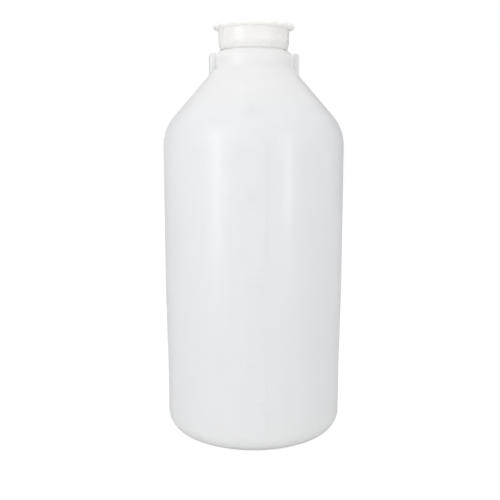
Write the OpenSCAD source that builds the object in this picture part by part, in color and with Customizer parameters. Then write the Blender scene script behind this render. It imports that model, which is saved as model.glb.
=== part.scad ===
// Narrow-neck bottle of ten litres, blow moulded in one piece, with a screw cap and its sealing disc.
// Millimetres. Z is the axis of the bottle, the origin is the centre of its foot, the litre scale
// faces -Y and the two lugs of the collar point to +X and -X.

/* [Body] */
// Outside diameter where the wall meets the shoulder
body_d = 198; // [180:0.5:220]
// Outside diameter just above the rounded foot
foot_d = 194.6; // [180:0.2:216]
// Height up to which the wall keeps the foot's diameter
foot_h = 68; // [30:1:100]
// Height at which the wall has widened to the full body
taper_h = 160; // [110:1:280]
// Thickness of the blown wall
wall = 1.8; // [1:0.1:4]
// Radius of the foot's rounded edge
foot_radius = 20; // [8:0.5:24]
// Diameter of the shallow hollow under the base
hollow_d = 140; // [60:1:146]
// Rise of that hollow at its middle
hollow_rise = 12; // [2:0.5:16]

/* [Shoulder] */
// Height at which the lines of the wall and the slope cross
shoulder_h = 336.5; // [300:0.5:420]
// Lean of the slope from the bottle's axis, in degrees
slope_lean = 41; // [30:0.5:50]
// Radius of the bend between wall and slope
shoulder_radius = 50; // [10:1:60]

/* [Collar] */
// Outside diameter of the collar under the cap
collar_d = 87; // [82:0.2:94]
// Height of the collar above the slope
collar_h = 19.5; // [16:0.5:30]
// Radius of the collar's rounded top edge
collar_edge = 10; // [2:0.5:12]
// Radius of the hollow bend between slope and collar
collar_bend = 14; // [2:0.5:18]
// Thickness of the collar's top, which carries the neck
collar_roof = 3.5; // [2:0.1:5]

/* [Lugs] */
// Distance over the outer faces of the two lugs
lug_span = 96.4; // [90:0.2:110]
// Width of a lug
lug_w = 26; // [12:1:44]
// Drop of a lug's top below the top of the collar
lug_drop = 3.2; // [1:0.1:8]
// Radius of a lug's edges
lug_edge = 1.2; // [0.4:0.1:3]

/* [Neck] */
// Outside diameter of the neck
neck_d = 66.8; // [62:0.2:68]
// Diameter of the bore
bore_d = 58; // [40:0.5:60]
// Height of the neck above the collar
neck_h = 20.9; // [18:0.1:30]
// Radius of the rim's outer edge
rim_edge = 1; // [0.2:0.1:1.8]

/* [Cap] */
// Room between the neck and the skirt of the cap
thread_room = 2.6; // [2.2:0.1:4]
// Thickness of the skirt
skirt_wall = 2.4; // [1.8:0.1:3]
// Height that the skirt stays clear of the collar
skirt_gap = 0.8; // [0.5:0.1:4]
// Height over which the skirt draws in towards its lower edge
skirt_taper = 8; // [3:0.5:10]
// Thickness of the skirt at its lower edge
skirt_lip = 0.6; // [0.4:0.1:1.6]
// Radius of the bend where the skirt begins to draw in
skirt_bend = 16; // [4:1:24]
// Depth of the flat facets on the skirt
facet_depth = 0.25; // [0.05:0.05:0.4]
// Thickness of the cap's roof
roof_t = 2.5; // [1.5:0.1:4]

/* [Crown] */
// Number of grip lobes round the crown
lobe_count = 18; // [12:1:24]
// Distance that the crown stands out from the skirt
crown_reach = 5.8; // [3:0.1:9]
// Height of the crown's outer edge
crown_h = 2.4; // [2.1:0.1:8]
// Height of the slanting underside of the crown
crown_slant = 2.9; // [2:0.1:8]
// Radius of a lobe, seen from above
lobe_r = 14; // [8:0.5:18]
// Radius of the crown's upper and lower edges
crown_edge = 1; // [0.4:0.1:1.2]
// Rise of the crown's rim above the roof
rim_rise = 1.3; // [0.6:0.1:2.5]
// Width of the crown's rim
rim_w = 6; // [4:0.5:10]
// Radius of the notches in the rim, one between each two lobes
notch_r = 5; // [3:0.5:7]
// Depth of those notches
notch_depth = 0.85; // [0.25:0.1:2.45]

/* [Sealing disc] */
// Thickness of the disc
disc_t = 2; // [1:0.1:4]
// Clearance round the disc inside the cap
disc_clearance = 0.5; // [0.2:0.1:1.5]

/* [Scale] */
// Litres at the top mark
top_litres = 10; // [6:0.5:10]
// Litres from one mark to the next
mark_step = 0.5; // [0.25:0.25:1]
// Number of steps from one long mark to the next
long_every = 5; // [2:1:10]
// Width of a raised line
line_w = 0.9; // [0.5:0.1:2]
// Height that a line stands above the wall
line_rise = 0.45; // [0.2:0.05:1]
// Length of a short mark
short_mark = 9; // [5:0.5:20]
// Length of a long mark
long_mark = 18; // [8:0.5:30]
// Length of the top mark
top_mark = 26; // [8:0.5:40]

/* [Hidden] */
$fn = 96;

// Extra reach of a cutting shape past the face that it cuts
past = 1;
// Height of the slices that the filling height is added up from
slice_h = 1;

body_r = body_d / 2;
foot_r = foot_d / 2;
collar_r = collar_d / 2;
neck_r = neck_d / 2;
hollow_r = hollow_d / 2;

// Heights from the foot up
collar_foot_z = shoulder_h + (body_r - collar_r) / tan(slope_lean);
collar_top_z = collar_foot_z + collar_h;
lug_top_z = collar_top_z - lug_drop;
lug_root_z = collar_foot_z - (lug_span / 2 - collar_r) / tan(slope_lean) - lug_w / 2;
rim_z = collar_top_z + neck_h;
skirt_z = collar_top_z + skirt_gap;
roof_z = rim_z + disc_t;
cap_top_z = roof_z + roof_t;
crown_top_z = cap_top_z + rim_rise;
crown_low_z = crown_top_z - crown_h;

// Radii of the cap
skirt_in_r = neck_r + thread_room;
skirt_r = skirt_in_r + skirt_wall;
crown_r = skirt_r + crown_reach;
lobe_step = 360 / lobe_count;

// Sphere that shapes the hollow of the base, with its middle on the axis below the foot
hollow_sphere_r = (hollow_r * hollow_r + hollow_rise * hollow_rise) / (2 * hollow_rise);
hollow_volume = PI * hollow_rise * (3 * hollow_r * hollow_r + hollow_rise * hollow_rise) / 6;

// Corners of the body's outline from the base's middle to the middle of the collar's top, each as
// [radius from the axis, height, rounding]
body_corners = [
    [0, 0, 0],
    [foot_r, 0, foot_radius],
    [foot_r, foot_h, 0],
    [body_r, taper_h, 0],
    [body_r, shoulder_h, shoulder_radius],
    [collar_r, collar_foot_z, collar_bend],
    [collar_r, collar_top_z, collar_edge],
    [0, collar_top_z, 0],
];

function point(corner) = [corner.x, corner.y];
function unit(v) = v / norm(v);
function left_of(v) = unit([-v.y, v.x]);

// A corner of an outline that runs anticlockwise is convex where it turns left
function turn(a, p, b) = cross(p - a, b - p);

// Moves one corner inwards by the wall d, and fits its rounding to the moved sides
function moved(a, corner, b, d) =
    let (
        p = point(corner),
        n = left_of(p - a),
        m = left_of(b - p),
        q = p + (n + m) * d / (1 + n * m),
        r = turn(a, p, b) > 0 ? corner.z - d : corner.z + d
    )
    [q.x, q.y, corner.z > 0 ? max(r, 0) : 0];

// The outline moved inwards by d, or outwards where d is negative; both ends stay on the axis
function inset(c, d) = [
    for (i = [0 : len(c) - 1])
        i == 0 ? [0, c[i].y + d, 0] :
        i == len(c) - 1 ? [0, c[i].y - d, 0] :
        moved(point(c[i - 1]), c[i], point(c[i + 1]), d)
];

// Where the rounded bend of the shoulder begins on the wall and ends on the slope
bend_reach = shoulder_radius * tan(slope_lean / 2);
bend_low_z = shoulder_h - bend_reach;
bend_high_z = shoulder_h + bend_reach * cos(slope_lean);

// Outside radius of the body at height z
function outer_r(z) =
    z < foot_radius ? foot_r - foot_radius + sqrt(pow(foot_radius, 2) - pow(foot_radius - z, 2)) :
    z < foot_h ? foot_r :
    z < taper_h ? foot_r + (body_r - foot_r) * (z - foot_h) / (taper_h - foot_h) :
    z < bend_low_z ? body_r :
    z < bend_high_z ? body_r - shoulder_radius + sqrt(pow(shoulder_radius, 2) - pow(z - bend_low_z, 2)) :
    body_r - (z - shoulder_h) * tan(slope_lean);

// Height that a volume fills the bottle to, added up in slices from height z
function fill_z(volume, z = wall) =
    let (slice = PI * pow(outer_r(z + slice_h / 2) - wall, 2) * slice_h)
    volume < slice ? z + slice_h * volume / slice : fill_z(volume - slice, z + slice_h);

function mark_z(litres) = fill_z(litres * 1e6 + hollow_volume);

// The sliver between the sharp corner p of an outline and the arc of radius r that rounds it
module corner_sliver(a, p, b, r) {
    u = unit(a - p);
    v = unit(b - p);
    half = acos(u * v) / 2;
    centre = p + unit(u + v) * r / sin(half);
    touch_u = p + u * r / tan(half);
    touch_v = p + v * r / tan(half);
    difference() {
        polygon([
            centre,
            touch_u + unit(touch_u - centre) * past,
            p + unit(p - centre) * past / sin(half),
            touch_v + unit(touch_v - centre) * past,
        ]);
        translate(centre) circle(r);
    }
}

// Closed outline with rounded corners, given anticlockwise as [x, y, rounding]
module rounded_outline(c) {
    n = len(c);
    difference() {
        polygon([for (corner = c) point(corner)]);
        for (i = [0 : n - 1])
            if (c[i].z > 0 && turn(point(c[(i + n - 1) % n]), point(c[i]), point(c[(i + 1) % n])) > 0)
                corner_sliver(point(c[(i + n - 1) % n]), point(c[i]), point(c[(i + 1) % n]), c[i].z);
    }
    for (i = [0 : n - 1])
        if (c[i].z > 0 && turn(point(c[(i + n - 1) % n]), point(c[i]), point(c[(i + 1) % n])) < 0)
            corner_sliver(point(c[(i + n - 1) % n]), point(c[i]), point(c[(i + 1) % n]), c[i].z);
}

// Body outline at depth d below the outer face, with the hollow of the base taken out
module body_outline(d) {
    difference() {
        rounded_outline(inset(body_corners, d));
        translate([0, hollow_rise - hollow_sphere_r]) circle(hollow_sphere_r + d, $fn = 720);
    }
}

// Both lugs as one bar across the collar, with rounded upper and upright edges
module lug_bar() {
    x = lug_span / 2;
    y = lug_w / 2;
    intersection() {
        translate([0, y, 0]) rotate([90, 0, 0]) linear_extrude(lug_w)
            rounded_outline([
                [-x, lug_root_z, 0], [x, lug_root_z, 0], [x, lug_top_z, lug_edge], [-x, lug_top_z, lug_edge],
            ]);
        translate([0, 0, lug_root_z - past]) linear_extrude(lug_top_z - lug_root_z + 2 * past)
            rounded_outline([[-x, -y, lug_edge], [x, -y, lug_edge], [x, y, lug_edge], [-x, y, lug_edge]]);
    }
}

// A straight raised line of the scale, as a bar through the front wall
module scale_bar(x0, x1, z0, z1) {
    translate([x0, -body_r - line_rise - past, z0]) cube([x1 - x0, body_r, z1 - z0]);
}

// The litre scale: one upright line and its marks, moulded proud of the wall
module litre_scale() {
    steps = round(top_litres / mark_step);
    low_z = mark_z(mark_step) - line_w / 2;
    high_z = mark_z(top_litres) + line_w / 2;
    intersection() {
        rotate_extrude() difference() {
            rounded_outline(inset(body_corners, -line_rise));
            rounded_outline(inset(body_corners, wall / 2));
        }
        union() {
            scale_bar(-line_w / 2, line_w / 2, low_z, high_z);
            for (i = [1 : steps]) {
                length = i == steps ? top_mark : i % long_every == 0 ? long_mark : short_mark;
                z = mark_z(i * mark_step);
                scale_bar(-length, 0, z - line_w / 2, z + line_w / 2);
            }
        }
    }
}

// Blown bottle: foot, wall, shoulder, collar with its lugs, and the neck
module bottle() {
    neck_foot_z = collar_top_z - past;
    bore_foot_z = collar_top_z - collar_roof - past;
    color("#e9edf0") difference() {
        union() {
            rotate_extrude() body_outline(0);
            lug_bar();
            litre_scale();
            rotate_extrude() rounded_outline([
                [0, neck_foot_z, 0], [neck_r, neck_foot_z, 0], [neck_r, rim_z, rim_edge], [0, rim_z, 0],
            ]);
        }
        rotate_extrude() intersection() {
            body_outline(wall);
            square([body_d, collar_top_z - collar_roof]);
        }
        translate([0, 0, bore_foot_z]) cylinder(d = bore_d, h = rim_z - bore_foot_z + past);
    }
}

// Loose disc that the cap presses on the rim
module sealing_disc() {
    color("#f4f1e8") translate([0, 0, rim_z]) cylinder(r = skirt_in_r - disc_clearance, h = disc_t);
}

// Prism with one flat between each two lobes, which gives the skirt its facets
module facet_prism() {
    flat_r = skirt_r - facet_depth;
    linear_extrude(crown_top_z)
        polygon([for (i = [0 : lobe_count - 1]) flat_r / cos(lobe_step / 2) *
            [cos((i + 0.5) * lobe_step), sin((i + 0.5) * lobe_step)]]);
}

// Prism with the crown's outline of lobes
module lobe_prism() {
    linear_extrude(crown_top_z + past) {
        circle(skirt_r);
        for (i = [0 : lobe_count - 1])
            rotate((i + 0.5) * lobe_step) translate([crown_r - lobe_r, 0]) circle(lobe_r);
    }
}

// Screw cap: skirt, roof and the lobed crown round the roof
module screw_cap() {
    rim_in_r = crown_r - rim_w;
    color("#fbf9f3") difference() {
        union() {
            intersection() {
                rotate_extrude() rounded_outline([
                    [0, skirt_z, 0],
                    [skirt_in_r + skirt_lip, skirt_z, 0],
                    [skirt_r, skirt_z + skirt_taper, skirt_bend],
                    [skirt_r, cap_top_z, 0],
                    [0, cap_top_z, 0],
                ]);
                facet_prism();
            }
            intersection() {
                rotate_extrude() rounded_outline([
                    [0, crown_low_z - crown_slant, 0],
                    [skirt_r - skirt_wall / 2, crown_low_z - crown_slant, 0],
                    [crown_r, crown_low_z, crown_edge],
                    [crown_r, crown_top_z, crown_edge],
                    [0, crown_top_z, 0],
                ]);
                lobe_prism();
            }
        }
        translate([0, 0, skirt_z - past]) cylinder(r = skirt_in_r, h = roof_z - skirt_z + past);
        translate([0, 0, cap_top_z]) cylinder(r = rim_in_r, h = rim_rise + past);
        for (i = [0 : lobe_count - 1])
            rotate(i * lobe_step) translate([rim_in_r - past, 0, crown_top_z - notch_depth + notch_r])
                rotate([0, 90, 0]) cylinder(r = notch_r, h = rim_w + 2 * past);
    }
}

bottle();
sealing_disc();
screw_cap();
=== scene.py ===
# %% [markdown]
# # A ten-litre bottle with a screw cap
# The object is a laboratory and household bottle, blown in one piece from milky polyethylene. A tube of soft plastic
# is caught between two halves of a mould and blown against them, so the wall is even, every edge is round, and the
# scale stands on it as fine raised lines. The cap is injection moulded, which gives it crisper edges.
#
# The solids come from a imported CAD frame. They already have the right shape, so this script gives them their
# finish, and adds what is too fine for the frame: the two screw threads, the numbers of the scale, and the small
# traces that the moulds leave.

# %% Load the frame
import math

import bmesh
import bpy
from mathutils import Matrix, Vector


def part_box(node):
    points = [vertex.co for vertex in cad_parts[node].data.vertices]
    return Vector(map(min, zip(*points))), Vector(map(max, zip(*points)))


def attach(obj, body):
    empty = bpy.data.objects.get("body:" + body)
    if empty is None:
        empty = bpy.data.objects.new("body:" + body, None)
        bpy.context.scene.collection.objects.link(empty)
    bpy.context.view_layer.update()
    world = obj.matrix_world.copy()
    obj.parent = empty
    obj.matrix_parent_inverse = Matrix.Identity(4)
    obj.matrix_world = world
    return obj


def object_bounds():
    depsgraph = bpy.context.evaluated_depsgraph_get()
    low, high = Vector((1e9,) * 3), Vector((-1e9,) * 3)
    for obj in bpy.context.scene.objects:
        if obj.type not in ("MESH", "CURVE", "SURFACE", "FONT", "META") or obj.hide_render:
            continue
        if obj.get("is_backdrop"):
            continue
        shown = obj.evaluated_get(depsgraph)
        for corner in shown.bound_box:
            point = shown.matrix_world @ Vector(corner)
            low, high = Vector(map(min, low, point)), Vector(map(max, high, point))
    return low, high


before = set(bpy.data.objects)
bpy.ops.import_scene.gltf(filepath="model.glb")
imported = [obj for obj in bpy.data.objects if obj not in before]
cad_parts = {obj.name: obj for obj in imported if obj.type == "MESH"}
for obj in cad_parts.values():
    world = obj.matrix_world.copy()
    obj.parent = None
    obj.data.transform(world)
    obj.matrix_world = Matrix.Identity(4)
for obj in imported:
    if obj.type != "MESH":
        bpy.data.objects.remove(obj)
cad_box = [list(corner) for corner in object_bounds()]
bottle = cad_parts["bottle"]
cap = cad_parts["screw_cap"]
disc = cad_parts["sealing_disc"]
MM = 0.001
print("height of the bottle with its cap, mm:", round(cad_box[1][2] / MM, 1))

# %% [markdown]
# ## Measuring the frame
# The later pieces sit on the neck and on the wall, so their radii are measured instead of written down again. A ray
# sent from far outside towards the axis meets the outer face, and one sent from the axis outwards meets the inner
# face. The usual direction is a little off the scale's upright line, which would add its own height to the answer.

# %% Radii at a height
FAR = 0.5
CLEAR_OF_SCALE = math.radians(-60)


def outer_radius(node, z, azimuth=CLEAR_OF_SCALE):
    side = Vector((math.cos(azimuth), math.sin(azimuth), 0))
    _, place, _, _ = node.ray_cast(side * FAR + Vector((0, 0, z)), -side)
    return math.hypot(place.x, place.y)


def inner_radius(node, z):
    side = Vector((math.cos(CLEAR_OF_SCALE), math.sin(CLEAR_OF_SCALE), 0))
    _, place, _, _ = node.ray_cast(Vector((0, 0, z)), side)
    return math.hypot(place.x, place.y)


rim_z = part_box("bottle")[1].z
skirt_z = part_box("screw_cap")[0].z
neck_mid_z = (rim_z + skirt_z) / 2
neck_radius = outer_radius(bottle, neck_mid_z)
skirt_inner_radius = inner_radius(cap, neck_mid_z)
skirt_radius = outer_radius(cap, skirt_z + 1.5 * MM)
collar_radius = outer_radius(bottle, skirt_z - 10 * MM)
slope_low, slope_high = 0.375, 0.39
slope_low_radius, slope_high_radius = outer_radius(bottle, slope_low), outer_radius(bottle, slope_high)
print("neck, inner and outer skirt radii, mm:", round(neck_radius / MM, 2), round(skirt_inner_radius / MM, 2),
      round(skirt_radius / MM, 2))
print("collar's radius, slope's radii, mm:", round(collar_radius / MM, 2), round(slope_low_radius / MM, 2),
      round(slope_high_radius / MM, 2))

# %% [markdown]
# ## The camera
# The photograph was taken from a little above the middle, with the lens tipped down. Its focal length, height and
# tilt were worked out from the outline: the foot is an ellipse seen from above, the cap's lower edge curves the
# other way because it is above the lens, and the sides lean in towards the foot. The bottle is turned a few degrees,
# so the scale is right of the middle and the left lug is the nearer one. Turning the camera round the bottle does
# the same, and keeps the bottle in its own frame.

# %% Camera
PHOTO_PX = 500
FOCAL_PX = 705
AXIS_PX = 253.6
SENSOR_MM = 36
CAMERA_DISTANCE = 0.7898
CAMERA_HEIGHT = 0.3106
CAMERA_TILT = math.radians(7.83)
CAMERA_TURN = math.radians(6.7)


def make_camera():
    data = bpy.data.cameras.new("camera")
    data.sensor_width = SENSOR_MM
    data.lens = FOCAL_PX / PHOTO_PX * SENSOR_MM
    camera = bpy.data.objects.new("camera", data)
    aside = math.atan((AXIS_PX - PHOTO_PX / 2) / FOCAL_PX)
    camera.location = (
        -CAMERA_DISTANCE * math.sin(CAMERA_TURN),
        -CAMERA_DISTANCE * math.cos(CAMERA_TURN),
        CAMERA_HEIGHT,
    )
    camera.rotation_euler = (math.pi / 2 - CAMERA_TILT, 0, aside - CAMERA_TURN)
    bpy.context.scene.collection.objects.link(camera)
    bpy.context.scene.camera = camera
    return camera


camera = make_camera()
bpy.context.scene.view_settings.view_transform = "Standard"
print("lens, mm:", round(camera.data.lens, 1))

# %% [markdown]
# ## Nodes in few words
# Materials, the world and the geometry trees are all node trees, and most of the work is the same: add a node, set
# some of its sockets, and link the rest. One helper does it. A plain value is set on the socket, and a socket given
# as a value is linked instead. `mix` is the colour or number mixer, whose sockets have the same names for each type
# of data, so they are picked by their place.


# %% Helpers for nodes
def add(tree, kind, inputs=(), **settings):
    made = tree.nodes.new(kind)
    for name, value in settings.items():
        setattr(made, name, value)
    for name, value in dict(inputs).items():
        if isinstance(value, bpy.types.NodeSocket):
            tree.links.new(value, made.inputs[name])
        else:
            made.inputs[name].default_value = value
    return made


def maths(tree, operation, a, b=0.0):
    return add(tree, "ShaderNodeMath", {0: a, 1: b}, operation=operation).outputs[0]


MIX_FACTOR, MIX_A, MIX_B, MIX_RESULT = 0, 6, 7, 2


def mix(tree, factor, a, b, blend_type="MIX"):
    inputs = {MIX_FACTOR: factor, MIX_A: a, MIX_B: b}
    return add(tree, "ShaderNodeMix", inputs, data_type="RGBA", blend_type=blend_type).outputs[MIX_RESULT]


def ramp(tree, value, low, high, to_low=0.0, to_high=1.0):
    inputs = {"Value": value, "From Min": low, "From Max": high, "To Min": to_low, "To Max": to_high}
    return add(tree, "ShaderNodeMapRange", inputs, interpolation_type="SMOOTHSTEP").outputs[0]


def new_material(name):
    material = bpy.data.materials.new(name)
    material.use_nodes = True
    material.node_tree.nodes.clear()
    return material, material.node_tree


def background_rays(tree):
    path = add(tree, "ShaderNodeLightPath")
    mirrored = maths(tree, "MAXIMUM", path.outputs["Is Glossy Ray"], path.outputs["Is Transmission Ray"])
    return maths(tree, "MAXIMUM", path.outputs["Is Camera Ray"], mirrored)


# %% [markdown]
# ## Floor
# The bottle stands in front of pure white. A white floor lit by the lamps alone would come out a little grey, so the
# camera sees it glow just enough to reach white, while its own diffuse share still takes the bottle's shadow. Light
# that bounces meets a plain pale floor instead, and brightens the foot as it does in a studio. A reflection meets a
# darker floor, because the photograph's bottle has darker edges than a white floor would leave. That floor is fitted.

# %% Floor
FLOOR_SIZE = 6.0
FLOOR_COLOUR = (0.86, 0.86, 0.86, 1)
FLOOR_SHADOW_SHARE = (0.16, 0.16, 0.16, 1)
FLOOR_GLOW = 0.9
FLOOR_MIRRORED = (0.5, 0.5, 0.5, 1)


def make_floor():
    half = FLOOR_SIZE / 2
    mesh = bpy.data.meshes.new("floor")
    corners = [(-half, -half, 0), (half, -half, 0), (half, half, 0), (-half, half, 0)]
    mesh.from_pydata(corners, [], [(0, 1, 2, 3)])
    floor = bpy.data.objects.new("floor", mesh)
    bpy.context.scene.collection.objects.link(floor)
    material, tree = new_material("floor")
    path = add(tree, "ShaderNodeLightPath").outputs
    dim = mix(tree, path["Is Glossy Ray"], FLOOR_COLOUR, FLOOR_MIRRORED)
    plain = add(tree, "ShaderNodeBsdfDiffuse", {"Color": dim})
    shadow = add(tree, "ShaderNodeBsdfDiffuse", {"Color": FLOOR_SHADOW_SHARE})
    glow = add(tree, "ShaderNodeEmission", {"Strength": FLOOR_GLOW})
    seen = add(tree, "ShaderNodeAddShader", {0: shadow.outputs[0], 1: glow.outputs[0]})
    direct = maths(tree, "MAXIMUM", path["Is Camera Ray"], path["Is Transmission Ray"])
    result = add(tree, "ShaderNodeMixShader", {0: direct, 1: plain.outputs[0], 2: seen.outputs[0]})
    add(tree, "ShaderNodeOutputMaterial", {"Surface": result.outputs[0]})
    mesh.materials.append(material)
    floor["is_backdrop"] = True


make_floor()

# %% [markdown]
# ## Light
# The photograph has one large soft source at the front left. It leaves a wide upright highlight on the wall, the
# collar and the cap. A much weaker one on the right gives the second, thin line of light, and a white room fills the
# rest. It is brighter in front and above than behind, so the sides fall off gently. What the camera sees of the room
# is plain white, and so is what a reflection shows, apart from two dim corners at the back, which draw the edges of
# the bottle against the white. What lights the bottle is dimmer, so that pale surfaces don't clip.

# %% World
ROOM_FRONT = (0.87, 0.87, 0.87, 1)
ROOM_BACK = (0.56, 0.56, 0.56, 1)
CEILING = (1.0, 1.0, 1.0, 1)
WHITE = (1, 1, 1, 1)
SIDE_FADE = (-0.8, 0.6)
CEILING_FADE = (0.3, 0.9)
CORNER_FADE = (0.76, 0.94)
DIM_CORNERS = ((52, (0.3, 0.3, 0.3, 1)), (118, (0.5, 0.5, 0.5, 1)))


def make_world():
    world = bpy.data.worlds.new("room")
    bpy.context.scene.world = world
    world.use_nodes = True
    tree = world.node_tree
    tree.nodes.clear()
    direction = add(tree, "ShaderNodeTexCoord").outputs["Generated"]
    parts = add(tree, "ShaderNodeSeparateXYZ", {0: direction}).outputs
    walls = mix(tree, ramp(tree, parts["Y"], *SIDE_FADE), ROOM_FRONT, ROOM_BACK)
    shade = mix(tree, ramp(tree, parts["Z"], *CEILING_FADE), walls, CEILING)
    room = add(tree, "ShaderNodeBackground", {"Color": shade})
    reflected = WHITE
    for azimuth, dim in DIM_CORNERS:
        corner = (math.cos(math.radians(azimuth)), math.sin(math.radians(azimuth)), 0)
        towards = add(tree, "ShaderNodeVectorMath", {0: direction, 1: corner}, operation="DOT_PRODUCT")
        reflected = mix(tree, ramp(tree, towards.outputs["Value"], *CORNER_FADE), reflected, dim)
    mirrored = add(tree, "ShaderNodeLightPath").outputs["Is Glossy Ray"]
    backdrop = add(tree, "ShaderNodeBackground", {"Color": mix(tree, mirrored, WHITE, reflected)})
    either = {0: background_rays(tree), 1: room.outputs[0], 2: backdrop.outputs[0]}
    result = add(tree, "ShaderNodeMixShader", either)
    add(tree, "ShaderNodeOutputWorld", {"Surface": result.outputs[0]})


make_world()


# %% Lamps
def soft_lamp(name, place, aim, width, height, power):
    data = bpy.data.lights.new(name, "AREA")
    data.shape = "RECTANGLE"
    data.size = width
    data.size_y = height
    data.energy = power
    lamp = bpy.data.objects.new(name, data)
    lamp.location = place
    lamp.rotation_euler = (Vector(aim) - Vector(place)).to_track_quat("-Z", "Y").to_euler()
    bpy.context.scene.collection.objects.link(lamp)
    return lamp


LAMP_AIM = (0, 0, 0.3)
soft_lamp("key", (-1.01, -0.80, 0.6), LAMP_AIM, width=0.27, height=1.15, power=3.8)
soft_lamp("edge", (0.72, -1.08, 0.42), LAMP_AIM, width=0.1, height=0.7, power=1.6)

# %% [markdown]
# ## Patterns that the plastics share
# A moulded surface is never quite smooth. It copies the polish marks and the grain of the steel, and it sinks a
# little as it cools, which bends a highlight into soft waves. Handling adds fine scratches. All three plastics of
# this object need these, each in its own measure, so each effect is a node group, built once, with named inputs.
# The groups read Object coordinates, which are metres here, so a size of 0.002 is a grain of 2 mm. They put out
# heights in millimetres, and the Bump node in the material turns those into metres.


# %% A group with named sockets
def new_group(name, inputs, outputs):
    group = bpy.data.node_groups.new(name, "ShaderNodeTree")
    for label, value in inputs.items():
        socket = group.interface.new_socket(name=label, in_out="INPUT", socket_type="NodeSocketFloat")
        socket.default_value = value
    for label in outputs:
        group.interface.new_socket(name=label, in_out="OUTPUT", socket_type="NodeSocketFloat")
    return group, add(group, "NodeGroupInput").outputs, add(group, "NodeGroupOutput").inputs


def place_on_object(tree):
    return add(tree, "ShaderNodeTexCoord").outputs["Object"]


def noise(tree, place, scale, detail=2.0, roughness=0.5):
    inputs = {"Vector": place, "Scale": scale, "Detail": detail, "Roughness": roughness}
    return add(tree, "ShaderNodeTexNoise", inputs).outputs[0]


# %% Moulded skin: soft waves and fine grain
def make_moulded_skin():
    sizes = {"Wave Size": 0.05, "Wave Height": 0.2, "Grain Size": 0.002, "Grain Height": 0.01}
    group, given, result = new_group("moulded_skin", sizes, ["Height", "Cloud"])
    place = place_on_object(group)
    wave = noise(group, place, maths(group, "DIVIDE", 1.0, given["Wave Size"]), detail=1.0)
    grain = noise(group, place, maths(group, "DIVIDE", 1.0, given["Grain Size"]), detail=3.0)
    waves = maths(group, "MULTIPLY", wave, given["Wave Height"])
    grains = maths(group, "MULTIPLY", grain, given["Grain Height"])
    group.links.new(maths(group, "ADD", waves, grains), result["Height"])
    cloud_scale = maths(group, "DIVIDE", 1.6, given["Wave Size"])
    cloud = noise(group, place, cloud_scale, detail=4.0, roughness=0.6)
    group.links.new(ramp(group, cloud, 0.3, 0.7), result["Cloud"])
    return group


moulded_skin = make_moulded_skin()


# %% Fine scratches: thin level lines of a stretched noise, in two directions
# The noise is drawn out over two axes. A face that lies flat in both would show wide patches, so it gets no lines.
def make_fine_scratches():
    sizes = {"Length": 0.06, "Spacing": 0.009, "Width": 0.0002, "Share": 0.4, "Depth": 0.02}
    group, given, result = new_group("fine_scratches", sizes, ["Height", "Mask"])
    place, normal = place_on_object(group), add(group, "ShaderNodeTexCoord").outputs["Normal"]
    along = maths(group, "DIVIDE", 1.0, given["Length"])
    across = maths(group, "DIVIDE", 1.0, given["Spacing"])
    edge = maths(group, "DIVIDE", given["Width"], given["Spacing"])
    start = maths(group, "SUBTRACT", 0.75, maths(group, "MULTIPLY", given["Share"], 0.5))
    masks = []
    for turn in ((0.25, 0.5, 0.9), (1.2, -0.35, -0.6)):
        stretch = add(group, "ShaderNodeCombineXYZ", {0: along, 1: across, 2: along}).outputs[0]
        turned = add(group, "ShaderNodeMapping", {"Vector": place, "Rotation": turn}).outputs[0]
        stretched = add(group, "ShaderNodeVectorMath", {0: turned, 1: stretch}, operation="MULTIPLY").outputs[0]
        ridges = noise(group, stretched, 1.0, detail=0.0)
        patches = noise(group, turned, maths(group, "DIVIDE", 1.0, given["Length"]), detail=1.0)
        thin = ramp(group, maths(group, "ABSOLUTE", maths(group, "SUBTRACT", ridges, 0.5)), 0.0, edge, 1.0, 0.0)
        here = ramp(group, patches, maths(group, "SUBTRACT", start, 0.1), maths(group, "ADD", start, 0.1))
        facing = add(group, "ShaderNodeMapping", {"Vector": normal, "Rotation": turn}, vector_type="VECTOR").outputs[0]
        across_face = maths(group, "ABSOLUTE", add(group, "ShaderNodeSeparateXYZ", {0: facing}).outputs["Y"])
        here = maths(group, "MULTIPLY", here, ramp(group, across_face, 0.55, 0.8, 1.0, 0.0))
        masks.append(maths(group, "MULTIPLY", thin, here))
    both = maths(group, "MAXIMUM", *masks)
    group.links.new(both, result["Mask"])
    group.links.new(maths(group, "MULTIPLY", both, maths(group, "MULTIPLY", given["Depth"], -1.0)), result["Height"])
    return group


fine_scratches = make_fine_scratches()


# %% Streaks: lines that follow the way the plastic was drawn
def make_drawn_streaks():
    sizes = {"Streaks Round": 40.0, "Change With Height": 4.0}
    group, given, result = new_group("drawn_streaks", sizes, ["Mask"])
    parts = add(group, "ShaderNodeSeparateXYZ", {0: place_on_object(group)}).outputs
    level = add(group, "ShaderNodeCombineXYZ", {"X": parts["X"], "Y": parts["Y"], "Z": 0.0}).outputs[0]
    direction = add(group, "ShaderNodeVectorMath", {0: level}, operation="NORMALIZE").outputs[0]
    times = add(group, "ShaderNodeVectorMath", {0: direction, "Scale": given["Streaks Round"]}, operation="SCALE")
    height = maths(group, "MULTIPLY", parts["Z"], given["Change With Height"])
    lift = add(group, "ShaderNodeCombineXYZ", {"X": 0.0, "Y": 0.0, "Z": height}).outputs[0]
    where = add(group, "ShaderNodeVectorMath", {0: times.outputs[0], 1: lift}, operation="ADD").outputs[0]
    group.links.new(ramp(group, noise(group, where, 1.0, detail=3.0), 0.3, 0.7), result["Mask"])
    return group


drawn_streaks = make_drawn_streaks()


def use(tree, group, **values):
    made = add(tree, "ShaderNodeGroup", node_tree=group)
    for name, value in values.items():
        made.inputs[name.replace("_", " ")].default_value = value
    return made.outputs


# %% Radius and height on a piece
BLACK = (0, 0, 0, 1)


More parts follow.
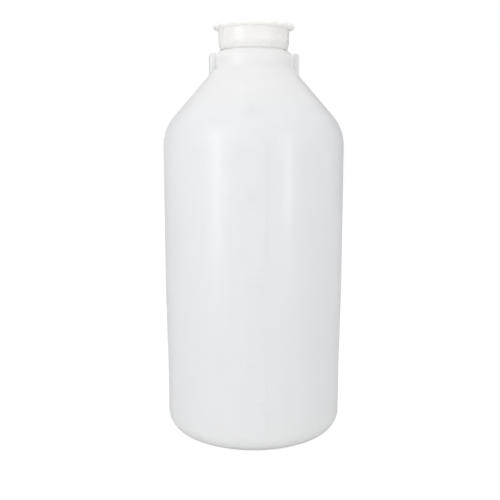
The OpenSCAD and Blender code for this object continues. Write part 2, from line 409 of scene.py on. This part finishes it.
def round_place(tree):
    parts = add(tree, "ShaderNodeSeparateXYZ", {0: place_on_object(tree)}).outputs
    squares = [maths(tree, "MULTIPLY", parts[axis], parts[axis]) for axis in ("X", "Y")]
    return maths(tree, "SQRT", maths(tree, "ADD", *squares)), parts["Z"]


def finish_plastic(tree, colour, roughness, height, depth, weight, glow=BLACK):
    inputs = {"Height": height, "Distance": MM, "Strength": 1.0}
    bump = add(tree, "ShaderNodeBump", inputs).outputs[0]
    shader = {
        "Base Color": colour,
        "Roughness": roughness,
        "Normal": bump,
        "IOR": 1.5,
        "Subsurface Weight": weight,
        "Subsurface Scale": depth,
        "Subsurface Radius": (1.0, 1.0, 1.0),
        "Emission Color": glow,
        "Emission Strength": 1.0,
    }
    made = add(tree, "ShaderNodeBsdfPrincipled", shader)
    add(tree, "ShaderNodeOutputMaterial", {"Surface": made.outputs[0]})


# %% [markdown]
# ## Milky polyethylene
# This plastic lets light into the wall and scatters it there, so shadows are soft and thin parts glow a little. The
# Principled shader does this with its subsurface share, and the closed wall of the real thickness gives it something
# true to scatter in. The colour is a cool white that is a little cloudy, because the crystals in the plastic are not
# even, and has faint upright streaks from the tube that it was blown from. Towards the foot it is slightly warmer in
# tone and painted lighter, a painted light from the floor, and near the floor it is scuffed, where the bottle has been
# set down and slid.
#
# Scattered light stays inside one mesh. A small ridge that is a mesh of its own and sunk into the wall would lose the
# light at its hidden faces and look like a dark stain, so the same plastic is made twice, and the second, for such
# ridges, doesn't scatter.
#
# Three things here are fitted to the photograph, and are not properties of the plastic. The shoulder and the collar are
# painted whiter than the wall: painted light from above, and partly the thicker plastic there. The lugs are painted
# greyer, a painted shade. And the slit under the skirt, which the frame keeps open so that the cap can turn, has a
# painted glow on both its sides: light would come through the plastics there, but it can't pass from mesh to mesh here.

# %% The bottle's plastic
MILKY = (0.858, 0.874, 0.91, 1)
MILKY_CLOUD = (0.866, 0.881, 0.914, 1)
MILKY_STREAK = (0.864, 0.879, 0.914, 1)
# painted light: whiter from the shoulder up to the collar, for light from above and partly for thicker plastic
THICK_AND_LIT_WHITE = (0.98, 0.974, 0.963, 1)
# painted shade: the grey of the lugs stands for the shade on them
SHADED_LUG_GREY = (0.755, 0.758, 0.765, 1)
# painted light: lighter and slightly warmer towards the foot, for light from the floor
LIT_WARM_FOOT = (0.905, 0.902, 0.887, 1)
SCUFF_WHITE = (0.93, 0.925, 0.91, 1)
LIT_WARM_FOOT_TOP = 0.13
THICK_AND_LIT_FROM, THICK_AND_LIT_TO = 0.33, 0.41
LUG_PROUD = 0.8 * MM
LUG_HALF_WIDTH = 14 * MM
SCUFF_TOP = 0.006
SCATTER = 0.75
MILKY_DEPTH = 0.005
# painted glow in the slit under the skirt, for light that would come through the plastics
SLIT_NECK_GLOW = (0.25, 0.25, 0.25, 1)


def make_milky_polyethylene(name, scatter):
    material, tree = new_material(name)
    radius, height = round_place(tree)
    skin = use(tree, moulded_skin, Wave_Size=0.045, Wave_Height=0.35, Grain_Size=0.0016, Grain_Height=0.012)
    scratch = use(tree, fine_scratches, Length=0.07, Spacing=0.011, Width=0.0002, Share=0.3, Depth=0.005)
    streak = use(tree, drawn_streaks, Streaks_Round=26.0, Change_With_Height=5.0)["Mask"]
    # painted light: the wall is painted lighter and slightly warmer towards the foot, for light from the floor
    low = ramp(tree, height, 0.0, LIT_WARM_FOOT_TOP, 1.0, 0.0)
    patchy = noise(tree, place_on_object(tree), 160.0, detail=4.0)
    scuffed = maths(tree, "MULTIPLY", ramp(tree, height, 0.0, SCUFF_TOP, 1.0, 0.0), ramp(tree, patchy, 0.42, 0.6))
    colour = mix(tree, skin["Cloud"], MILKY, MILKY_CLOUD)
    colour = mix(tree, maths(tree, "MULTIPLY", streak, 0.5), colour, MILKY_STREAK)
    colour = mix(tree, maths(tree, "MULTIPLY", low, 0.5), colour, LIT_WARM_FOOT)
    # painted light: whiter from the shoulder up, for light from above and partly for thicker plastic
    colour = mix(tree, ramp(tree, height, THICK_AND_LIT_FROM, THICK_AND_LIT_TO), colour, THICK_AND_LIT_WHITE)
    slope = {0: height, 1: slope_low, 2: slope_high, 3: slope_low_radius, 4: slope_high_radius}
    slope = add(tree, "ShaderNodeMapRange", slope, clamp=False).outputs[0]
    proud = maths(tree, "SUBTRACT", radius, maths(tree, "MAXIMUM", slope, collar_radius))
    aside = maths(tree, "ABSOLUTE", add(tree, "ShaderNodeSeparateXYZ", {0: place_on_object(tree)}).outputs["Y"])
    # painted shade: the lugs are coloured grey for the shade that falls on them
    shaded_lug = maths(tree, "MULTIPLY", ramp(tree, proud, 0.0, LUG_PROUD), ramp(tree, height, slope_low, slope_high))
    shaded_lug = maths(tree, "MULTIPLY", shaded_lug, ramp(tree, aside, LUG_HALF_WIDTH, 1.3 * LUG_HALF_WIDTH, 1.0, 0.0))
    colour = mix(tree, shaded_lug, colour, SHADED_LUG_GREY)
    colour = mix(tree, scuffed, colour, SCUFF_WHITE)
    rough = ramp(tree, skin["Cloud"], 0.0, 1.0, 0.28, 0.31)
    rough = maths(tree, "ADD", rough, maths(tree, "MULTIPLY", scratch["Mask"], 0.03))
    rough = maths(tree, "ADD", rough, maths(tree, "MULTIPLY", scuffed, 0.25))
    relief = maths(tree, "ADD", skin["Height"], scratch["Height"])
    relief = maths(tree, "ADD", relief, maths(tree, "MULTIPLY", streak, 0.05))
    # painted glow on the neck's foot inside the slit under the skirt, for light that would come through the plastics
    outside = ramp(tree, radius, neck_radius - 1.0 * MM, neck_radius - 0.5 * MM)
    foot = maths(tree, "MULTIPLY", ramp(tree, height, skirt_z - 1.1 * MM, skirt_z - 0.8 * MM),
                 ramp(tree, height, skirt_z, skirt_z + 1.0 * MM, 1.0, 0.0))
    glow = mix(tree, maths(tree, "MULTIPLY", outside, foot), BLACK, SLIT_NECK_GLOW)
    finish_plastic(tree, colour, rough, relief, MILKY_DEPTH, scatter, glow)
    return material


milky_polyethylene = make_milky_polyethylene("milky_polyethylene", SCATTER)
milky_relief = make_milky_polyethylene("milky_polyethylene_relief", 0.0)

# %% [markdown]
# ## Cap plastic and liner foam
# The cap is a denser, warmer white that light enters only a few millimetres deep. Plastic is pressed into its mould at
# the middle of the roof and flows outwards, which leaves faint rays, and fingers polish the outer edge of the crown and
# leave a little dirt in its notches. The liner is a thin closed-cell foam. Its cells show as tiny pits, with painted
# shade in them, and the rim has pressed a ring into it.

# %% The cap's plastic
WARM_WHITE = (0.878, 0.868, 0.841, 1)
WARM_WHITE_FLOW = (0.885, 0.877, 0.857, 1)
CROWN_WHITE = (0.945, 0.935, 0.905, 1)
HANDLED_WHITE = (0.85, 0.835, 0.8, 1)
CAP_DEPTH = 0.003
# painted glow on the skirt's lower edge inside the slit, for light that would come through the plastics
SLIT_CAP_GLOW = (0.4, 0.395, 0.385, 1)
CAP_SCATTER = 1.0
CROWN_INNER, CROWN_OUTER = 0.0385, 0.044


def make_cap_plastic():
    material, tree = new_material("cap_plastic")
    radius, height = round_place(tree)
    skin = use(tree, moulded_skin, Wave_Size=0.016, Wave_Height=0.05, Grain_Size=0.0009, Grain_Height=0.005)
    scratch = use(tree, fine_scratches, Length=0.02, Spacing=0.004, Width=0.00015, Share=0.5, Depth=0.01)
    flow = use(tree, drawn_streaks, Streaks_Round=9.0, Change_With_Height=12.0)["Mask"]
    handled = ramp(tree, radius, CROWN_INNER, CROWN_OUTER)
    colour = mix(tree, flow, WARM_WHITE, WARM_WHITE_FLOW)
    colour = mix(tree, handled, colour, CROWN_WHITE)
    dirt = maths(tree, "MULTIPLY", handled, ramp(tree, skin["Cloud"], 0.4, 1.0, 0.0, 0.6))
    colour = mix(tree, dirt, colour, HANDLED_WHITE)
    rough = ramp(tree, skin["Cloud"], 0.0, 1.0, 0.26, 0.32)
    rough = maths(tree, "SUBTRACT", rough, maths(tree, "MULTIPLY", handled, 0.06))
    rough = maths(tree, "ADD", rough, maths(tree, "MULTIPLY", scratch["Mask"], 0.04))
    relief = maths(tree, "ADD", skin["Height"], scratch["Height"])
    # painted glow on the skirt's lower edge inside the slit, for light that would come through the plastics
    low = ramp(tree, height, skirt_z + 0.05 * MM, skirt_z + 0.3 * MM, 1.0, 0.0)
    inner = ramp(tree, radius, skirt_radius - 0.9 * MM, skirt_radius - 0.5 * MM, 1.0, 0.0)
    glow = mix(tree, maths(tree, "MULTIPLY", low, inner), BLACK, SLIT_CAP_GLOW)
    finish_plastic(tree, colour, rough, relief, CAP_DEPTH, CAP_SCATTER, glow)
    return material


cap_plastic = make_cap_plastic()

# %% The liner's foam
FOAM_WHITE = (0.86, 0.84, 0.78, 1)
# painted shade in the foam's pits, and a darker tone at random
FOAM_SHADE_AND_TONE = (0.78, 0.76, 0.69, 1)
FOAM_CELL = 0.0007
RIM_MARK_INNER, RIM_MARK_OUTER = 0.0285, 0.0338


def make_liner_foam():
    material, tree = new_material("liner_foam")
    radius, height = round_place(tree)
    cells = {"Vector": place_on_object(tree), "Scale": 1 / FOAM_CELL, "Smoothness": 0.4}
    pits = add(tree, "ShaderNodeTexVoronoi", cells, feature="SMOOTH_F1").outputs[0]
    inside = ramp(tree, radius, RIM_MARK_INNER - MM / 2, RIM_MARK_INNER + MM / 2)
    outside = ramp(tree, radius, RIM_MARK_OUTER - MM / 2, RIM_MARK_OUTER + MM / 2, 1.0, 0.0)
    pressed = maths(tree, "MULTIPLY", inside, outside)
    skin = use(tree, moulded_skin, Wave_Size=0.02, Wave_Height=0.06, Grain_Size=0.0005, Grain_Height=0.02)
    # painted shade: the foam is darker in its pits; the cloud below adds a darker tone at random
    colour = mix(tree, ramp(tree, pits, 0.1, 0.6, 1.0, 0.0), FOAM_WHITE, FOAM_SHADE_AND_TONE)
    colour = mix(tree, maths(tree, "MULTIPLY", skin["Cloud"], 0.3), colour, FOAM_SHADE_AND_TONE)
    rough = ramp(tree, pressed, 0.0, 1.0, 0.72, 0.5)
    relief = maths(tree, "ADD", skin["Height"], maths(tree, "MULTIPLY", pits, 0.12))
    relief = maths(tree, "SUBTRACT", relief, maths(tree, "MULTIPLY", pressed, 0.25))
    finish_plastic(tree, colour, rough, relief, 0.001, 0.3)
    return material


liner_foam = make_liner_foam()


# %% Dress the solids
def dress(node, material):
    node.data.materials.clear()
    node.data.materials.append(material)


dress(bottle, milky_polyethylene)
dress(cap, cap_plastic)
dress(disc, liner_foam)

# %% [markdown]
# ## The screw threads
# A screw thread is one ridge that follows a helix, so it is a path and a cross-section: a good job for Geometry
# Nodes. The tree makes a spiral, turns its normals level, and sweeps a rounded trapezoid along it. One tree serves
# twice. On the neck the ridge stands outwards, and in the cap it stands inwards and runs half a pitch higher, so the
# two ridges lie in each other's grooves at every turn of the cap. The ridge fades into the wall at its ends, as a
# moulded one does, so that it starts easily.

# %% The thread's tree
THREAD_STEPS = 72
CORNER_ROUNDING = 0.25 * MM
ENDS_FADE = 0.07


def new_tree(name, inputs):
    tree = bpy.data.node_groups.new(name, "GeometryNodeTree")
    for label, kind in inputs.items():
        tree.interface.new_socket(name=label, in_out="INPUT", socket_type=kind)
    tree.interface.new_socket(name="Geometry", in_out="OUTPUT", socket_type="NodeSocketGeometry")
    return tree, add(tree, "NodeGroupInput").outputs


def close_tree(tree, mesh, material):
    real = add(tree, "GeometryNodeRealizeInstances", {0: mesh})
    dressed = add(tree, "GeometryNodeSetMaterial", {"Geometry": real.outputs[0], "Material": material})
    add(tree, "NodeGroupOutput", {"Geometry": dressed.outputs[0]})


def make_thread_tree():
    numbers = ["Radius", "Pitch", "Turns", "Start Height", "Start Angle", "Side", "Base Width", "Crest Width", "Depth"]
    sockets = {label: "NodeSocketFloat" for label in numbers}
    sockets["Material"] = "NodeSocketMaterial"
    tree, given = new_tree("screw_thread", sockets)
    spiral = {
        "Resolution": THREAD_STEPS,
        "Rotations": given["Turns"],
        "Start Radius": given["Radius"],
        "End Radius": given["Radius"],
        "Height": maths(tree, "MULTIPLY", given["Pitch"], given["Turns"]),
        "Reverse": True,
    }
    path = add(tree, "GeometryNodeCurveSpiral", spiral).outputs[0]
    lift = add(tree, "ShaderNodeCombineXYZ", {"Z": given["Start Height"]}).outputs[0]
    turn = add(tree, "ShaderNodeCombineXYZ", {"Z": given["Start Angle"]}).outputs[0]
    path = add(tree, "GeometryNodeTransform", {"Geometry": path, "Translation": lift, "Rotation": turn}).outputs[0]
    path = add(tree, "GeometryNodeSetCurveNormal", {"Curve": path}, mode="Z_UP").outputs[0]
    section = {"Bottom Width": given["Base Width"], "Top Width": given["Crest Width"], "Height": given["Depth"]}
    section["Offset"] = 0.0
    ridge = add(tree, "GeometryNodeCurvePrimitiveQuadrilateral", section, mode="TRAPEZOID").outputs[0]
    rounding = {"Curve": ridge, "Count": 3, "Radius": CORNER_ROUNDING, "Limit Radius": True}
    ridge = add(tree, "GeometryNodeFilletCurve", rounding, mode="POLY").outputs[0]
    over = maths(tree, "MULTIPLY", given["Side"], -math.pi / 2)
    out = maths(tree, "MULTIPLY", maths(tree, "MULTIPLY", given["Side"], given["Depth"]), 0.5)
    over = add(tree, "ShaderNodeCombineXYZ", {"Z": over}).outputs[0]
    out = add(tree, "ShaderNodeCombineXYZ", {"X": out}).outputs[0]
    ridge = add(tree, "GeometryNodeTransform", {"Geometry": ridge, "Translation": out, "Rotation": over}).outputs[0]
    along = add(tree, "GeometryNodeSplineParameter").outputs["Factor"]
    rising = ramp(tree, along, 0.0, ENDS_FADE, 0.12, 1.0)
    falling = ramp(tree, along, 1.0 - ENDS_FADE, 1.0, 1.0, 0.12)
    scale = maths(tree, "MULTIPLY", rising, falling)
    sweep = {"Curve": path, "Profile Curve": ridge, "Scale": scale, "Fill Caps": True}
    close_tree(tree, add(tree, "GeometryNodeCurveToMesh", sweep).outputs[0], given["Material"])
    return tree


thread_tree = make_thread_tree()


# %% From a tree to a plain mesh
SHARP_EDGE = math.radians(40)


def closed_and_smooth(mesh):
    work = bmesh.new()
    work.from_mesh(mesh)
    bmesh.ops.remove_doubles(work, verts=work.verts, dist=0.001 * MM)
    bmesh.ops.recalc_face_normals(work, faces=work.faces)
    work.to_mesh(mesh)
    work.free()
    mesh.shade_smooth()
    mesh.set_sharp_from_angle(angle=SHARP_EDGE)


def grown(name, tree, settings, start=None):
    piece = bpy.data.objects.new(name, start or bpy.data.meshes.new(name))
    bpy.context.scene.collection.objects.link(piece)
    modifier = piece.modifiers.new("shape", "NODES")
    modifier.node_group = tree
    for socket in tree.interface.items_tree:
        if socket.in_out == "INPUT" and socket.name in settings:
            modifier[socket.identifier] = settings[socket.name]
    ready = piece.evaluated_get(bpy.context.evaluated_depsgraph_get())
    mesh = bpy.data.meshes.new_from_object(ready)
    piece.modifiers.clear()
    piece.data = mesh
    closed_and_smooth(mesh)
    print(name, "has", len(mesh.polygons), "faces, material", mesh.materials[0].name)
    return piece


# %% Thread of the neck
PITCH = 6 * MM
NECK_TURNS = 2.25
CAP_TURNS = 2.0
NECK_THREAD_START = skirt_z + 3.4 * MM
CAP_START_ANGLE = math.radians(-150)
BASE_WIDTH = 3.2 * MM
CREST_WIDTH = 1.0 * MM
SUNK = 0.3 * MM
NECK_RIDGE = 1.9 * MM
CAP_RIDGE_CLEARANCE = 0.6 * MM

neck_thread = grown("neck_thread", thread_tree, {
    "Radius": neck_radius - SUNK,
    "Pitch": PITCH,
    "Turns": NECK_TURNS,
    "Start Height": NECK_THREAD_START,
    "Start Angle": 0.0,
    "Side": 1.0,
    "Base Width": BASE_WIDTH,
    "Crest Width": CREST_WIDTH,
    "Depth": NECK_RIDGE + SUNK,
    "Material": milky_relief,
})
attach(neck_thread, "bottle")

# %% Thread of the cap
half_a_pitch_up = NECK_THREAD_START + PITCH / 2 + PITCH * CAP_START_ANGLE / math.tau
cap_thread = grown("cap_thread", thread_tree, {
    "Radius": skirt_inner_radius + SUNK,
    "Pitch": PITCH,
    "Turns": CAP_TURNS,
    "Start Height": half_a_pitch_up,
    "Start Angle": CAP_START_ANGLE,
    "Side": -1.0,
    "Base Width": BASE_WIDTH,
    "Crest Width": CREST_WIDTH,
    "Depth": skirt_inner_radius + SUNK - neck_radius - CAP_RIDGE_CLEARANCE,
    "Material": cap_plastic,
})
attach(cap_thread, "cap")
print("threads reach, mm:", round(NECK_THREAD_START / MM, 1), "to",
      round((NECK_THREAD_START + PITCH * NECK_TURNS) / MM, 1), "on the neck, and",
      round(half_a_pitch_up / MM, 1), "to", round((half_a_pitch_up + PITCH * CAP_TURNS) / MM, 1), "in the cap")

# %% [markdown]
# ## The parting line
# The two halves of the blow mould meet in a plane through the lugs. They never close perfectly, so a hair of plastic
# stands up along the joint, from the foot to the lug on either side. Under the base the mould pinches the tube shut,
# which leaves a thicker weld. Both follow the surface: rays sent at the bottle give the points of the path, and a
# small tree turns the path into a thin round bead that is sunk into the wall.

# %% The bead's tree
BEAD_SIDES = 8


def make_bead_tree():
    sockets = {"Path": "NodeSocketGeometry", "Bead Radius": "NodeSocketFloat", "Material": "NodeSocketMaterial"}
    tree, given = new_tree("parting_bead", sockets)
    path = add(tree, "GeometryNodeMeshToCurve", {"Mesh": given["Path"]}).outputs[0]
    ring = add(tree, "GeometryNodeCurvePrimitiveCircle", {"Resolution": BEAD_SIDES, "Radius": given["Bead Radius"]})
    sweep = {"Curve": path, "Profile Curve": ring.outputs[0], "Fill Caps": True}
    close_tree(tree, add(tree, "GeometryNodeCurveToMesh", sweep).outputs[0], given["Material"])
    return tree


bead_tree = make_bead_tree()


def path_mesh(name, points):
    mesh = bpy.data.meshes.new(name)
    mesh.from_pydata(points, [(i, i + 1) for i in range(len(points) - 1)], [])
    return mesh


def bead(name, points, radius):
    settings = {"Bead Radius": radius, "Material": milky_relief}
    piece = grown(name, bead_tree, settings, path_mesh(name, points))
    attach(piece, "bottle")
    return piece


# %% Parting lines and the weld under the base
SEAM_RADIUS = 0.32 * MM
SEAM_SUNK = 0.12 * MM
SEAM_LOW, SEAM_STEP = 1.5 * MM, 2 * MM
SEAM_HIGH = skirt_z - 5.5 * MM
WELD_RADIUS = 0.8 * MM
WELD_SUNK = 0.3 * MM
WELD_HALF = 64 * MM

count = int((SEAM_HIGH - SEAM_LOW) / SEAM_STEP)
for name, side in (("parting_line_right", 1), ("parting_line_left", -1)):
    azimuth = 0 if side > 0 else math.pi
    heights = [SEAM_LOW + (SEAM_HIGH - SEAM_LOW) * i / count for i in range(count + 1)]
    bead(name, [(side * (outer_radius(bottle, z, azimuth) - SEAM_SUNK), 0, z) for z in heights], SEAM_RADIUS)


def base_height(x):
    _, place, _, _ = bottle.ray_cast(Vector((x, 0, -FAR)), Vector((0, 0, 1)))
    return place.z


across = [WELD_HALF * (i / 32 - 1) for i in range(65)]
bead("pinch_weld", [(x, 0, base_height(x) + WELD_SUNK) for x in across], WELD_RADIUS)
print("hollow of the base at its middle, mm:", round(base_height(0) / MM, 1))

# %% [markdown]
# ## The numbers of the scale
# A litre scale has plain numbers at its long marks. The mould forms them in the wall like the marks, so they stand up
# by the same half millimetre. Each number starts as a text curve, because Blender then brings the shape of the
# figures. It becomes a mesh, and each of its points is bent round the bottle: its distance to the side becomes an
# angle, and its height picks the wall's radius there. The heights of the long marks are found in the frame with rays,
# as the places left of the line where the wall stands proud of the same place on the right.

# %% Where the long marks are
PROBE_X = 14 * MM
PROBE_STEP = 0.25 * MM
PROUD = 0.2 * MM
SCALE_LOW, SCALE_HIGH = 0.02, 0.39


def front(x, z):
    _, place, _, _ = bottle.ray_cast(Vector((x, -FAR, z)), Vector((0, 1, 0)))
    return -place.y


def find_long_marks():
    found = []
    for i in range(int((SCALE_HIGH - SCALE_LOW) / PROBE_STEP)):
        z = SCALE_LOW + i * PROBE_STEP
        if front(-PROBE_X, z) - front(PROBE_X, z) > PROUD:
            if found and z - found[-1][-1] < 2 * PROBE_STEP:
                found[-1].append(z)
            else:
                found.append([z])
    return [sum(run) / len(run) for run in found]


long_marks = find_long_marks()
print("long marks at, mm:", [round(z / MM, 1) for z in long_marks])

# %% Numbers on the wall
NUMBER_SIZE = 8.5 * MM
NUMBER_RISE = 0.4 * MM
NUMBER_SUNK = 0.3 * MM
NUMBER_MIDDLE = -12.5 * MM
NUMBER_LIFT = 2.2 * MM
LITRES_PER_LONG_MARK = 2.5


def flat_number(text):
    curve = bpy.data.curves.new("number", "FONT")
    curve.body = text
    curve.size = NUMBER_SIZE
    curve.align_x = "CENTER"
    curve.extrude = 0.5
    curve.resolution_u = 6
    typed = bpy.data.objects.new("number", curve)
    bpy.context.scene.collection.objects.link(typed)
    mesh = bpy.data.meshes.new_from_object(typed.evaluated_get(bpy.context.evaluated_depsgraph_get()))
    bpy.data.objects.remove(typed)
    return mesh


def number_on_wall(text, mark_z):
    mesh = flat_number(text)
    work = bmesh.new()
    work.from_mesh(mesh)
    bmesh.ops.remove_doubles(work, verts=work.verts, dist=0.01 * MM)
    bmesh.ops.triangulate(work, faces=work.faces)
    for vert in work.verts:
        x, z = vert.co.x + NUMBER_MIDDLE, vert.co.y + mark_z + NUMBER_LIFT
        wall = outer_radius(bottle, z)
        radius = wall + (NUMBER_RISE if vert.co.z > 0 else -NUMBER_SUNK)
        angle = -math.pi / 2 + x / wall
        vert.co = (radius * math.cos(angle), radius * math.sin(angle), z)
    work.to_mesh(mesh)
    work.free()
    closed_and_smooth(mesh)
    mesh.materials.clear()
    mesh.materials.append(milky_relief)
    name = "scale_number_" + text.replace(".", "_")
    piece = bpy.data.objects.new(name, mesh)
    bpy.context.scene.collection.objects.link(piece)
    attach(piece, "bottle")
    print(name, "has", len(mesh.polygons), "faces")
    return piece


for i, mark_z in enumerate(long_marks):
    number_on_wall(f"{LITRES_PER_LONG_MARK * (i + 1):g}", mark_z)

# %% [markdown]
# ## The gate of the cap
# The cap's plastic entered its mould at the middle of the roof. Where the gate was broken off, a low round scar with
# a dimple in it stays. Its outline is turned round the axis in code: a few rings of points, joined by faces.

# %% Gate mark
GATE_RINGS = ((2.6, -0.2), (2.6, 0.12), (2.35, 0.3), (1.5, 0.34), (1.2, 0.2), (0.9, 0.12), (0.55, 0.22), (0.3, 0.45))
GATE_SIDES = 40


def roof_top():
    _, place, _, _ = cap.ray_cast(Vector((0.004, 0, FAR * 2)), Vector((0, 0, -1)))
    return place.z


def make_gate_mark():
    mesh = bpy.data.meshes.new("gate_mark")
    work = bmesh.new()
    top = roof_top()
    rings = []
    for radius, height in GATE_RINGS:
        turn = [math.tau * i / GATE_SIDES for i in range(GATE_SIDES)]
        rings.append([work.verts.new((radius * MM * math.cos(a), radius * MM * math.sin(a), top + height * MM))
                      for a in turn])
    for low, high in zip(rings, rings[1:]):
        for i in range(GATE_SIDES):
            j = (i + 1) % GATE_SIDES
            work.faces.new((low[i], low[j], high[j], high[i]))
    work.faces.new(rings[-1])
    work.faces.new(rings[0][::-1])
    work.to_mesh(mesh)
    work.free()
    closed_and_smooth(mesh)
    mesh.materials.append(cap_plastic)
    piece = bpy.data.objects.new("gate_mark", mesh)
    bpy.context.scene.collection.objects.link(piece)
    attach(piece, "cap")
    print("roof of the cap at, mm:", round(top / MM, 2))
    return piece


make_gate_mark()

# %% [markdown]
# ## Close
# The box of the solids and the box of the dressed object are written down, to show that the finish has not made the
# bottle any bigger.

# %% Finish
visual_box = [list(corner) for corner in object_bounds()]
grew = max(abs(visual_box[i][axis] - cad_box[i][axis]) for i in (0, 1) for axis in range(3))
print("the dressed bottle is bigger than the solids by, mm:", round(grew / MM, 2))
